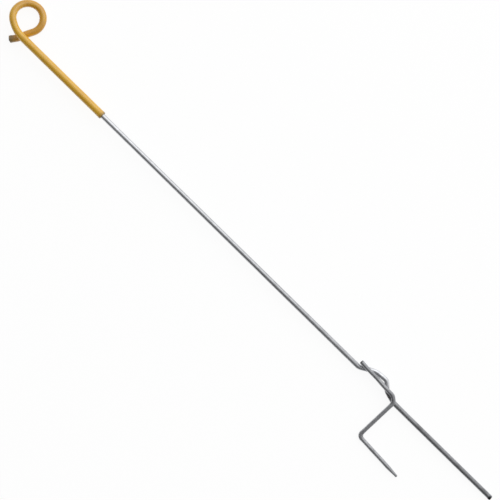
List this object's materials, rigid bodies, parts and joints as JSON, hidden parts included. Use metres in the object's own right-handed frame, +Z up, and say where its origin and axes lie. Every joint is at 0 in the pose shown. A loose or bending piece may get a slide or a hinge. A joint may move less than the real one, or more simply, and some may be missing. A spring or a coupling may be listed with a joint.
{
  "type": "marshmallow roasting fork",
  "caption": "Long steel campfire fork with a yellow sleeved grip, a hanging ring at the back and a long and a short tine at the front.",
  "frame": {"origin": "middle of the bounding box's bottom face; the fork lies on the plane Z = 0, on its hanging ring and both tines", "axes": "+X along the shaft towards the tines, tilted down by 0.80 degrees as the fork rests; +Y towards the side of the shaft that the hanging ring is on, with the short tine on the -Y side; +Z up, off the surface it lies on"},
  "size_m": [0.6302, 0.0824, 0.0144],
  "materials": {
    "rod_steel": "bright plated drawn wire, faint lines along it, greyer near the tines",
    "prong_steel": "grey drawn wire, darker at its cut ends",
    "yellow_vinyl": "satin golden yellow vinyl sleeve",
    "weld_scale": "near-black weld scale, rough"
  },
  "bodies": {
    "root": {"main_rod": "rod_steel", "prong_wire": "prong_steel", "grip_sleeve": "yellow_vinyl", "tack_weld": "weld_scale"}
  },
  "joints": []
}
